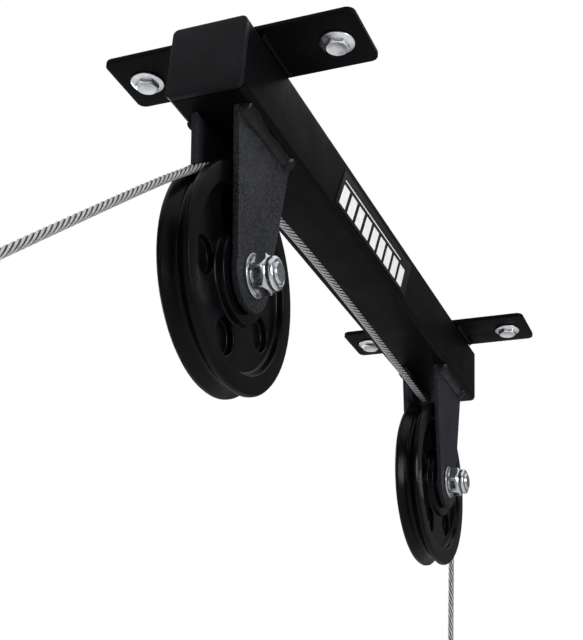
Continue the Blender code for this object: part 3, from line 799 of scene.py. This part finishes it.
def thread_radius(core, crest, low, high):
    """A screw thread between two heights; elsewhere the profile's own radius holds."""
    def radius_at(angle, radius, height):
        if not low <= height <= high:
            return radius
        phase = (height / AXLE_PITCH + angle / tau) % 1.0
        tooth = min(1.0, 2.6 * min(phase, 1 - phase))
        return min(radius, core + (crest - core) * tooth)
    return radius_at


def build_ceiling_screw(end, side, x, y):
    """A low hex flange screw: a coned flange, a chamfered head with a dished face, and its shank."""
    under = -PLATE_THICK
    top = under - CEILING_HEAD
    corner_r = CEILING_FLATS / sqrt(3)
    flange = soften([
        (0.2 * MM, -GAP, 0), (CEILING_SHANK_R - CEILING_SHANK_CHAMFER, -GAP, 0),
        (CEILING_SHANK_R, -GAP - CEILING_SHANK_CHAMFER, 0), (CEILING_SHANK_R, under, 0),
        (CEILING_FLANGE_R, under, 0.25 * MM), (CEILING_FLANGE_R, under - 1.2 * MM, 0.5 * MM),
        (CEILING_FLATS / 2 + 0.9 * MM, under - 2.1 * MM, 0.5 * MM), (CEILING_FLATS / 2, under - 2.2 * MM, 0),
    ])
    head = [
        (corner_r, under - 1.6 * MM), (corner_r, top + CEILING_CHAMFER),
        *chamfer(corner_r, 0.47 * CEILING_FLATS, top + CEILING_CHAMFER, top, 0.75),
        (0.44 * CEILING_FLATS, top), (0.40 * CEILING_FLATS, top + 0.3 * MM), (0.2 * MM, top + 0.45 * MM),
    ]
    shape = Shape().turned(flange, steps=BOLT_STEPS)
    shape.turned(head, hexagon_radius(CEILING_FLATS), steps=BOLT_STEPS)
    turn = at(x, y, 0) @ Matrix.Rotation(CEILING_TURN, 4, "Z")
    screw = shape.piece(f"{end}_screw_{side}", "bright_zinc", turn, merge=False)
    stand_for(screw, "rack", "bright_zinc", f"{end}_ceiling_bolt_{side}")


def build_bolt(end, turn, start, tip):
    """The axle bolt: a chamfered hexagon head with a washer face, and a shank with a thread to its tip."""
    corner_r = NUT_FLATS / sqrt(3)
    head_end = start + HEAD_HEIGHT
    head = [
        (AXLE_R, start), (0.47 * NUT_FLATS, start), (0.485 * NUT_FLATS, start + 0.3 * MM),
        (corner_r, start + 0.31 * MM), (corner_r, head_end - HEAD_CHAMFER),
        *chamfer(corner_r, 0.47 * NUT_FLATS, head_end - HEAD_CHAMFER, head_end, 0.75),
        (0.44 * NUT_FLATS, head_end), (0.42 * NUT_FLATS, head_end - 0.3 * MM),
        (0.2 * MM, head_end - 0.35 * MM),
    ]
    thread_from = tip + THREAD_LENGTH
    shank = [(AXLE_R, start), (AXLE_R, thread_from)]
    rows = int(THREAD_LENGTH / (AXLE_PITCH / 8))
    for k in range(1, rows + 1):
        height = thread_from - (thread_from - tip) * k / rows
        shank.append((min(AXLE_R, AXLE_R - 1.1 * MM + 0.9 * (height - tip)), height))
    shank += [(AXLE_R - 1.6 * MM, tip), (0.2 * MM, tip)]
    shape = Shape().turned(head, hexagon_radius(NUT_FLATS), steps=BOLT_STEPS)
    threads = thread_radius(AXLE_R - THREAD_DEPTH, AXLE_R, tip - 1 * MM, thread_from)
    shape.turned(shank, threads, steps=BOLT_STEPS)
    bolt = shape.piece(f"{end}_bolt", "zinc_painted_shade", turn, merge=False)
    stand_for(bolt, "rack", "bright_zinc", f"{end}_axle_bolt")


def build_nut(end, turn, start):
    """A locknut: a chamfered hexagon, a neck, and a domed collar with a rolled-in lip."""
    bore = AXLE_R + GAP
    corner_r = NUT_FLATS / sqrt(3)
    hex_end = start - NUT_HEX_END
    nut_end = start - NUT_HEIGHT
    neck_r = NUT_COLLAR_R - 0.6 * MM
    profile = [
        (bore, start), (0.47 * NUT_FLATS, start), (corner_r, start - 1.6 * MM),
        (corner_r, hex_end + NUT_CHAMFER),
        *chamfer(corner_r, NUT_COLLAR_R, hex_end + NUT_CHAMFER, hex_end, 0.8, 6),
        (neck_r, hex_end - 0.3 * MM), (neck_r, hex_end - 0.7 * MM),
    ]
    for k in range(9):
        angle = pi / 2 * k / 8
        radius = NUT_COLLAR_R - 0.2 * MM - NUT_DOME_R * (1 - cos(angle))
        profile.append((radius, nut_end + NUT_DOME_R * (1 - sin(angle))))
    profile += [
        (NUT_COLLAR_R - 2.9 * MM, nut_end + 0.3 * MM),
        (NUT_COLLAR_R - 3.1 * MM, nut_end + 1.3 * MM),
        (bore, nut_end + 1.5 * MM),
    ]
    shape = Shape().turned(profile, hexagon_radius(NUT_FLATS), along=True)
    nut = shape.piece(f"{end}_nut", "zinc_painted_shade", turn)
    stand_for(nut, "rack", "bright_zinc", f"{end}_locknut")


def build_axle(end, axle_x):
    """The bolt, the washers, the nut, and between the cheeks the sleeve and the spacers."""
    turn = at(axle_x, 0, AXLE_Z, "Y")
    washer_near = FORK_OUTER / 2 + GAP
    washer_far = washer_near + WASHER_THICK
    nut_start = -washer_far - GAP
    build_bolt(end, turn, washer_far + GAP, nut_start - NUT_HEIGHT - AXLE_END_OUT)
    edges = (0.15 * MM, 0.2 * MM, 0.45 * MM, 0.25 * MM)
    for label, sign in (("head", 1), ("nut", -1)):
        washer = ring(f"{end}_{label}_side_washer", "zinc_painted_shade", turn, (AXLE_R + GAP, WASHER_R),
                      (sign * washer_near, sign * washer_far), edges, arc_steps=4)
        stand_for(washer, "rack", "bright_zinc", f"{end}_{label}_washer")
    build_nut(end, turn, nut_start)

    inside = CHEEK_INNER - GAP
    tubes = [("sleeve", SLEEVE_R, (-inside, inside), f"{end}_axle_sleeve")]
    for side, sign in SIDES:
        heights = (sign * (HUB_HALF + GAP), sign * inside)
        tubes.append(("spacer_" + side, (SLEEVE_R[1] + GAP, SPACER_R), heights, f"{end}_side_spacer_{side}"))
    for label, radii, heights, node in tubes:
        edges = [0.2 * MM] * 4
        tube = ring(f"{end}_{label}", "bright_zinc", turn, radii, heights, edges, TUBE_STEPS)
        stand_for(tube, "rack", "bright_zinc", node)


# -------- sheaves and bearings

def both_sides(half, apex=()):
    """A profile of (radius, height, edge) and the same one upside down, with the apex between them."""
    return [*half, *apex, *((radius, -height, edge) for radius, height, edge in reversed(half))]


def rim_profile():
    """From the web over one flange, through the groove and over the other flange."""
    half = [
        (WEB_R[1], WEB_HALF, 0), (RIM_INNER_R - 1.3 * MM, WEB_HALF, 2.4 * MM),
        (RIM_INNER_R, RIM_HALF, 1.1 * MM), (PULLEY_R - 1.1 * MM, RIM_HALF, 0.5 * MM),
        (PULLEY_R, RIM_LAND[1], 0.5 * MM), (PULLEY_R, RIM_LAND[0], 0.8 * MM),
    ]
    return soften(both_sides(half, [(GROOVE_APEX_R, 0, GROOVE_FILLET)]), steps=6)


def hub_profile():
    half = [
        (WEB_R[0], WEB_HALF, 0), (HUB_R + 0.9 * MM, WEB_HALF, 2.2 * MM),
        (HUB_R, HUB_HALF, 0.9 * MM), (SEAT_R, HUB_HALF, 0.4 * MM),
        (SEAT_R, HUB_HALF - SEAT_DEPTH, 0), (SHOULDER_R, HUB_HALF - SEAT_DEPTH, 0.2 * MM),
    ]
    return soften(both_sides(half), steps=5)


def web_sector(shape, middle):
    """One fifth of the web: rings from its border to its round pocket and down into it, on both sides."""
    arc_steps = TURN_STEPS // HOLE_COUNT
    side_steps = 8
    low = middle - pi / HOLE_COUNT
    high = middle + pi / HOLE_COUNT
    corners = [(WEB_R[0], low), (WEB_R[0], high), (WEB_R[1], high), (WEB_R[1], low), (WEB_R[0], low)]
    border = []
    for (r0, a0), (r1, a1) in zip(corners, corners[1:]):
        steps = arc_steps if r0 == r1 else side_steps
        for k in range(steps):
            r = r0 + (r1 - r0) * k / steps
            angle = a0 + (a1 - a0) * k / steps
            border.append(Vector(polar(r, angle)))
    centre = Vector(polar(HOLE_PITCH_R, middle))
    spokes = [(point - centre).normalized() for point in border]
    lip_r = HOLE_R + HOLE_LIP

    rings = []
    for share in (0, 0.25, 0.5, 0.75):
        points = [point.lerp(centre + spoke * lip_r, share) for point, spoke in zip(border, spokes)]
        rings.append([(p.x, p.y, WEB_HALF) for p in points])
    turns = [pi / 2 * k / 4 for k in range(5)]
    levels = [(lip_r - HOLE_LIP * sin(a), WEB_HALF - HOLE_LIP * (1 - cos(a))) for a in turns]
    for a in turns:
        radius = HOLE_R - POCKET_FILLET * (1 - cos(a))
        levels.append((radius, POCKET_FLOOR_HALF + POCKET_FILLET * (1 - sin(a))))
    levels += [(0.5 * HOLE_R, POCKET_FLOOR_HALF), (0.05 * HOLE_R, POCKET_FLOOR_HALF)]
    for radius, height in levels:
        rings.append([(centre.x + spoke.x * radius, centre.y + spoke.y * radius, height) for spoke in spokes])
    for sign in (1, -1):
        shape.grid([[(x, y, sign * z) for x, y, z in points] for points in rings])
        last = len(shape.points)
        shape.faces.append(tuple(range(last - len(spokes), last)))


def build_sheave(end, axle_x):
    start = HOLE_START[end] - pi / HOLE_COUNT
    shape = Shape().turned(rim_profile(), start=start)
    shape.turned(hub_profile(), start=start)
    for k in range(HOLE_COUNT):
        web_sector(shape, HOLE_START[end] + tau * k / HOLE_COUNT)
    # Local X and Y become world X and Z, so the pockets' angles run from +X towards +Z.
    sheave = shape.piece(f"{end}_sheave", "nylon", at(axle_x, 0, AXLE_Z, "-Y"), angle=40)
    stand_for(sheave, f"{end}_sheave", "nylon", f"{end}_pulley")


def build_bearings(end, axle_x):
    """Two ball bearings: their outer races and cages turn with the sheave, their inner races don't."""
    turn = at(axle_x, 0, AXLE_Z, "Y")
    sheave = f"{end}_sheave"
    race_edges = [0.3 * MM] * 4
    for side, sign in SIDES:
        outside = sign * (HUB_HALF - 0.1 * MM)
        inside = sign * (HUB_HALF - 0.1 * MM - BEARING_WIDTH)
        middle = (outside + inside) / 2
        cage_heights = (middle - BALL_CAGE_HALF, middle + BALL_CAGE_HALF)
        for label, finish, body, radii, heights, edges, steps in (
            ("outer_race", "bearing_steel", sheave, OUTER_RACE_R, (outside, inside), race_edges, BOLT_STEPS),
            ("inner_race", "bearing_steel", "rack", INNER_RACE_R, (outside, inside), race_edges, BOLT_STEPS),
            ("ball_cage", "cage_brass", sheave, BALL_CAGE_R, cage_heights, [0.2 * MM] * 4, TUBE_STEPS),
        ):
            name = f"{end}_{label}_{side}_fine"
            part = ring(name, finish, turn, radii, heights, edges, steps)
            stand_for(part, body, finish, f"{end}_bearing_{side}_{label}")


# -------- rope

def smooth_points(points, step):
    """Points at even steps along a smooth curve through the given points."""
    fine = []
    count = len(points)
    for k in range(count - 1):
        before = points[max(k - 1, 0)]
        start = points[k]
        end = points[k + 1]
        after = points[min(k + 2, count - 1)]
        for j in range(12):
            t = j / 12
            fine.append(0.5 * (
                2 * start
                + (end - before) * t
                + (2 * before - 5 * start + 4 * end - after) * t * t
                + (3 * start - before - 3 * end + after) * t ** 3
            ))
    fine.append(points[-1])
    lengths = [0.0]
    for first, second in zip(fine, fine[1:]):
        lengths.append(lengths[-1] + (second - first).length)
    pieces = max(2, round(lengths[-1] / step))
    result = []
    index = 0
    for k in range(pieces + 1):
        wanted = lengths[-1] * k / pieces
        while index < len(fine) - 2 and lengths[index + 1] < wanted:
            index += 1
        share = (wanted - lengths[index]) / (lengths[index + 1] - lengths[index])
        result.append(fine[index].lerp(fine[index + 1], share))
    return result


def wrap_point(axle_x, angle):
    """A point of the rope's centre line on a sheave; the angle is measured from +X towards +Z."""
    x, z = polar(WRAP_R, angle, axle_x, AXLE_Z)
    return Vector((x, 0, z))


def lead_route():
    """From the front sheave to the pull end; the stiff rope leaves a little flatter than it goes on."""
    point = wrap_point(AXLE_X[0], pi / 2 + LEAD_START)
    points = [point]
    pieces = 16
    for k in range(pieces):
        travelled = LEAD_LENGTH * (k + 0.5) / pieces
        angle = LEAD_END - (LEAD_END - LEAD_START) * exp(-travelled / LEAD_BEND)
        point = point + Vector((-cos(angle), 0, -sin(angle))) * (LEAD_LENGTH / pieces)
        points.append(point)
    return points


def run_route():
    """Over the front sheave, in a low arch under the beam and over the rear sheave."""
    lift = pi / 2 + LIFT_ANGLE
    land = pi / 2 - LAND_ANGLE
    turns = [pi / 2 + LEAD_START + (LIFT_ANGLE - LEAD_START) * k / 4 for k in range(4)]
    points = [wrap_point(AXLE_X[0], turn) for turn in turns]
    front = wrap_point(AXLE_X[0], lift)
    rear = wrap_point(AXLE_X[1], land)
    pieces = 20
    for k in range(pieces + 1):
        share = k / pieces
        rise = RUN_BOW * (1 - exp(-share / RUN_ONSET)) * (1 - share * share)
        points.append(front.lerp(rear, share) + Vector((0, 0, rise)))
    return points + [wrap_point(AXLE_X[1], land * (1 - k / 7)) for k in range(1, 8)]


def drop_route():
    top = wrap_point(AXLE_X[1], 0.0)
    return [top - Vector((0, 0, DROP_LENGTH * k / 6)) for k in range(7)]


def shorten(points, start, end):
    """The same route with its two ends drawn in."""
    first = points[0] + (points[1] - points[0]).normalized() * start
    last = points[-1] + (points[-2] - points[-1]).normalized() * end
    return [first] + points[1:-1] + [last]


def length_of(points):
    return sum((b - a).length for a, b in zip(points, points[1:]))


def strand_section():
    """Outline of the six strands round the rope's core, as (radius, angle, strand angle)."""
    section = []
    for strand in range(STRANDS):
        for k in range(STRAND_POINTS):
            local = -STRAND_REACH + 2 * STRAND_REACH * k / STRAND_POINTS
            x = 2 * STRAND_R + STRAND_R * cos(local)
            y = STRAND_R * sin(local)
            section.append((hypot(x, y), atan2(y, x) + tau * strand / STRANDS, local))
    return section


def rope_piece(name, route, begin, normal=ACROSS):
    """A stranded rope along a route; begin is the length of rope before the route's first point."""
    line = smooth_points(route, ROPE_STEP)
    section = strand_section()
    shape = Shape()
    rows = []
    travelled = begin
    runs = []
    for k, place in enumerate(line):
        if k:
            travelled += (place - line[k - 1]).length
        ahead = (line[min(k + 1, len(line) - 1)] - line[max(k - 1, 0)]).normalized()
        third = ahead.cross(normal)
        twist = ROPE_HAND * tau * travelled / ROPE_LAY
        rows.append([
            tuple(place + (normal * cos(a + twist) + third * sin(a + twist)) * r)
            for r, a, _ in section
        ])
        runs.append(travelled)
    shape.grid(rows, caps=True)
    for first in range(len(rows) - 1):
        for k, (_, _, here) in enumerate(section):
            there = section[k + 1][2] if (k + 1) % STRAND_POINTS else STRAND_REACH
            for local, row in ((here, first), (there, first), (there, first + 1), (here, first + 1)):
                wires = local / tau * WIRES + runs[row] / ROPE_LAY * STRANDS * 1.5 * ROPE_HAND
                shape.wires.append((wires, 0.5 + local / (2 * STRAND_REACH)))
    shape.wires.extend([(0.0, 0.0)] * (2 * len(section)))
    return shape.piece(name, "wire_rope", angle=60, merge=False), line


def eye_frame(place, direction):
    """Local Z along the rope away from the rack, local X across the rack."""
    along = direction.normalized()
    turn = Matrix((ACROSS, along.cross(ACROSS), along)).transposed().to_4x4()
    return Matrix.Translation(place) @ turn


def teardrop(radius, neck, points_round=24):
    """A closed eye outline: a round end at EYE_LENGTH and two tangents that meet near the neck."""
    lean = asin(min(1.0, (radius - neck) / EYE_LENGTH))
    angles = [-lean + (pi + 2 * lean) * k / points_round for k in range(points_round + 1)]
    return [*(polar(radius, angle, 0.0, EYE_LENGTH) for angle in angles), (-neck, 0.0), (neck, 0.0)]


def thimble_outline(radius, neck, lift=0.0):
    points = []
    for x, z in teardrop(radius, neck):
        below = min(0.0, z - EYE_LENGTH)
        points.append((x, z - below * (1 - THIMBLE_REACH)))
    return points[:-2] + [(x, z + lift) for x, z in points[-2:]]


def build_ferrule(end, turn):
    """An oval pressed sleeve with rounded mouths and crimped bands."""
    half_x, half_y = FERRULE_HALF
    body = rounded_rectangle(2 * half_x, 2 * half_y, half_y * 0.95, steps=10)
    rows = []
    steps = 72
    for k in range(steps + 1):
        z = FERRULE_LENGTH * k / steps
        mouth = min(1.0, min(z, FERRULE_LENGTH - z) / FERRULE_MOUTH)
        size = 0.88 + 0.12 * sin(pi / 2 * mouth)
        band = cos(tau * FERRULE_BANDS * (z / FERRULE_LENGTH)) * 0.5 + 0.5
        size *= 1 - 0.055 * (1 - band) ** 0.6 * mouth
        rows.append([(x * size, y * size, z) for x, y in body])
    shape = Shape().grid(rows, caps=True)
    item = shape.piece(f"{end}_sleeve", "aluminium", turn, angle=45)
    return stand_for(item, f"{end}_end", "aluminium", f"{end}_ferrule")


def build_thimble(end, turn):
    """A gutter bent round the inside of the eye: its floor faces the pin, its lips hold the rope."""
    outer_r = EYE_R - ROPE_R - 2.5 * GAP
    inner_r = outer_r - THIMBLE_WALL
    outer = [Vector(p) for p in thimble_outline(outer_r, THIMBLE_NECK)]
    inner = [Vector(p) for p in thimble_outline(inner_r, THIMBLE_NECK - THIMBLE_WALL, THIMBLE_WALL)]
    rows = []
    count = len(outer)
    for k in range(count):
        ahead = (outer[(k + 1) % count] - outer[k - 1]).normalized()
        rise = Vector((ahead.y, -ahead.x)) * (THIMBLE_LIP if k < count - 2 else 0.0)
        half = [  # from the middle of the gutter's floor over a lip to the side that faces the pin
            (outer[k], THIMBLE_HALF * 0.5),
            (outer[k] + rise * 0.1, THIMBLE_HALF - THIMBLE_LIP_WALL * 1.05),
            (outer[k] + rise, THIMBLE_HALF - THIMBLE_LIP_WALL), (outer[k] + rise, THIMBLE_HALF),
            (outer[k], THIMBLE_HALF), (inner[k].lerp(outer[k], 0.25), THIMBLE_HALF * 0.93),
            (inner[k], THIMBLE_HALF * 0.72),
        ]
        row = [(p.x, -across, p.y) for p, across in reversed(half)]
        rows.append(row + [(p.x, across, p.y) for p, across in half])
    shape = Shape().grid(rows, along=True)
    lay = turn @ at(0, 0, FERRULE_LENGTH + GAP)
    item = shape.piece(f"{end}_eye_liner", "bright_zinc", lay, angle=50)
    return stand_for(item, f"{end}_end", "bright_zinc", f"{end}_thimble")


def build_rope_end(end, route):
    """The ferrule, the rope's own eye and the thimble in it, at the end of a route."""
    turn = eye_frame(route[-1], route[-1] - route[-2])
    ferrule = build_ferrule(end, turn)
    neck = ROPE_R + GAP
    outline = teardrop(EYE_R, neck, 12)
    loop = [(neck, 0.0), (neck, EYE_STRAIGHT), *outline[:-2], (-neck, EYE_STRAIGHT), (-neck, 0.0)]
    points = [turn @ Vector((x, 0, FERRULE_LENGTH + GAP + z)) for x, z in loop]
    normal = (points[1] - points[0]).cross(points[len(points) // 2] - points[0]).normalized()
    eye, _ = rope_piece(f"{end}_eye", points, 0.0, normal)
    stand_for(eye, f"{end}_end", "wire_rope", f"{end}_rope_eye")
    return [ferrule, eye, build_thimble(end, turn)]


def build_free_rope(name, end, route, line, begin):
    """A stretch of rope, and the pieces on its end."""
    rope, path = rope_piece("rope_" + name, line, begin)
    stand_for(rope, None, "wire_rope", "cable_" + name)
    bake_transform(rope)
    pieces = build_rope_end(end, route)


def build_rope():
    """The run, then the lead and the drop; the strands turn evenly through all three."""
    run = run_route()
    held, _ = rope_piece("rope_run", shorten(run, GAP / 2, GAP / 2), 0.0)
    stand_for(held, "rack", "wire_rope", "cable_run")

    lead = lead_route()
    line = shorten(lead, GAP / 2, GAP)
    build_free_rope("lead", "pull", lead, line[::-1], -length_of(line))
    drop = drop_route()
    build_free_rope("drop", "load", drop, shorten(drop, GAP / 2, GAP), length_of(run))


# -------- the whole scene

make_materials()
make_camera()
make_studio()
build_rope()
build_beam()
for cap_end, cap_x, cap_direction in zip(ENDS, END_X, (1, -1)):
    build_cap(cap_end, cap_x, cap_direction)
for plate_end, plate_x in zip(ENDS, PLATE_X):
    build_plate(plate_end, plate_x)
    for screw_side, screw_sign in SIDES:
        build_ceiling_screw(plate_end, screw_side, plate_x, screw_sign * CEILING_BOLT_Y)
build_welds()
build_label()
for fork_end, fork_x in zip(ENDS, AXLE_X):
    for cheek_side, cheek_sign in SIDES:
        build_cheek(fork_end, fork_x, cheek_side, cheek_sign)
    build_axle(fork_end, fork_x)
    build_sheave(fork_end, fork_x)
    build_bearings(fork_end, fork_x)
